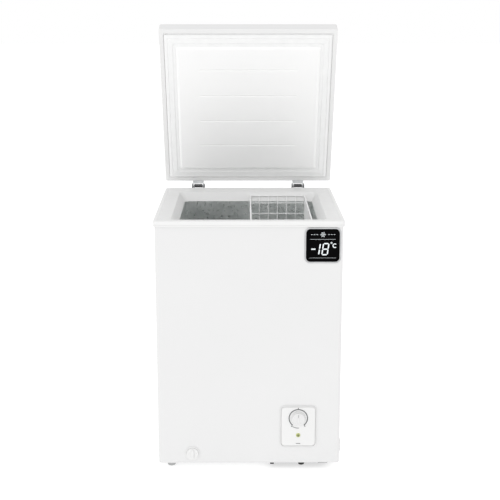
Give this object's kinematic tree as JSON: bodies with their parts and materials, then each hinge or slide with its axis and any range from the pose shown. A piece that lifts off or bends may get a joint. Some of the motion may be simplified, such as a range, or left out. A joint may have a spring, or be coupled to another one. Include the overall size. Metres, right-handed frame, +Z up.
{
  "type": "chest freezer",
  "caption": "Small white chest freezer with a spring-hinged lid, embossed liner, wire basket, dial thermostat and water drain.",
  "frame": {"origin": "on the floor, under the middle of the open freezer's bounding box", "axes": "+Z up, -Y towards the user, +X to the user's right as they face the freezer"},
  "size_m": [0.574, 0.6318, 1.3584],
  "materials": {
    "cabinet_paint": "satin white enamel on sheet steel",
    "back_paint": "pale grey enamel on sheet steel",
    "zinc_sheet": "zinc-plated steel",
    "foam": "foamed-in-place polyurethane",
    "liner_metal": "stucco-embossed aluminium sheet",
    "white_plastic": "satin white moulded plastic",
    "lid_inner_plastic": "vacuum-formed white polystyrene",
    "knob_plastic": "moulded white plastic",
    "white_rubber": "soft white seal",
    "black_paint": "semi-gloss black enamel",
    "black_rubber": "matt black rubber",
    "grey_rubber": "matt grey rubber",
    "black_plastic": "matt black plastic",
    "ivory_plastic": "ivory moulded plastic",
    "copper_tube": "dull copper",
    "coil_tube": "drawn tube",
    "green_lens": "clear green plastic",
    "grey_print": "printed ink",
    "dark_steel": "dark phosphated steel",
    "spring_steel": "oiled spring wire",
    "display_rim": "silvered plastic",
    "display_black": "glossy black plastic",
    "display_white": "printed light blue-white marks",
    "coated_wire": "white plastic-coated steel wire"
  },
  "bodies": {
    "cabinet": {"cabinet_wrap": "cabinet_paint", "back_panel": "back_paint", "bottom_panel": "zinc_sheet", "cabinet_foam": "foam", "inner_liner": "liner_metal", "top_collar": "white_plastic", "base_plate": "black_paint", "compressor_shell": "black_paint", "compressor_legs": "black_paint", "compressor_grommets": "black_rubber", "compressor_bolts": "zinc_sheet", "relay_cover": "black_plastic", "refrigerant_tubes": "copper_tube", "filter_drier": "copper_tube", "capillary_tube": "copper_tube", "evaporator_coil": "coil_tube", "condenser_coil": "coil_tube", "thermostat_body": "ivory_plastic", "sensor_tube": "copper_tube", "indicator_lamp": "ivory_plastic", "indicator_lens": "green_lens", "control_panel": "white_plastic", "dial_scale": "grey_print", "side_vent": "white_plastic", "rear_grille": "black_paint", "grille_screws": "zinc_sheet", "cord_gland": "black_rubber", "left_feet": "grey_rubber", "right_feet": "black_rubber", "drain_tube": "white_plastic", "drain_bezel": "white_plastic", "hinge_brackets": "dark_steel", "hinge_pins": "zinc_sheet", "hinge_springs": "spring_steel", "bracket_screws": "zinc_sheet", "rear_spacers": "black_plastic", "display_bezel": "display_rim", "display_face": "display_black", "display_segments": "display_white"},
    "lid": {"lid_shell": "cabinet_paint", "lid_frame": "white_plastic", "lid_foam": "foam", "lid_panel": "lid_inner_plastic", "lid_gasket": "white_rubber", "hinge_leaves": "zinc_sheet", "leaf_screws": "zinc_sheet"},
    "knob": {"thermostat_knob": "knob_plastic", "knob_pointer": "grey_print", "thermostat_shaft": "zinc_sheet"},
    "basket": {"basket_rim": "coated_wire", "basket_front": "coated_wire", "basket_back": "coated_wire", "basket_left": "coated_wire", "basket_right": "coated_wire", "basket_floor": "coated_wire"},
    "drain_spout": {"drain_spout": "white_plastic"},
    "drain_dial": {"drain_dial": "white_plastic"},
    "drain_plug": {"drain_plug": "white_plastic"}
  },
  "joints": [
    {"name": "lid_hinge", "type": "hinge", "parent": "cabinet", "child": "lid", "pos_m": [0, 0.2785, 0.797], "axis": [-1, 0, 0], "range_deg": [-68.5, 0], "stiffness_Nm_per_rad": 4.5, "springref_deg": 42.97},
    {"name": "thermostat_knob_turn", "type": "hinge", "parent": "cabinet", "child": "knob", "pos_m": [0.1525, -0.302, 0.17], "axis": [0, -1, 0], "range_deg": [-135, 135]},
    {"name": "basket_lift", "type": "slide", "parent": "cabinet", "child": "basket", "axis": [0, 0, 1], "range_m": [0, 0.18]},
    {"name": "drain_pull", "type": "slide", "parent": "cabinet", "child": "drain_spout", "axis": [0, -1, 0], "range_m": [0, 0.025]},
    {"name": "drain_turn", "type": "hinge", "parent": "drain_spout", "child": "drain_dial", "pos_m": [-0.176, -0.298, 0.0525], "axis": [0, -1, 0], "range_deg": [0, 180]},
    {"name": "drain_plug_lift", "type": "slide", "parent": "cabinet", "child": "drain_plug", "axis": [0, 0, 1], "range_m": [0, 0.08]}
  ]
}
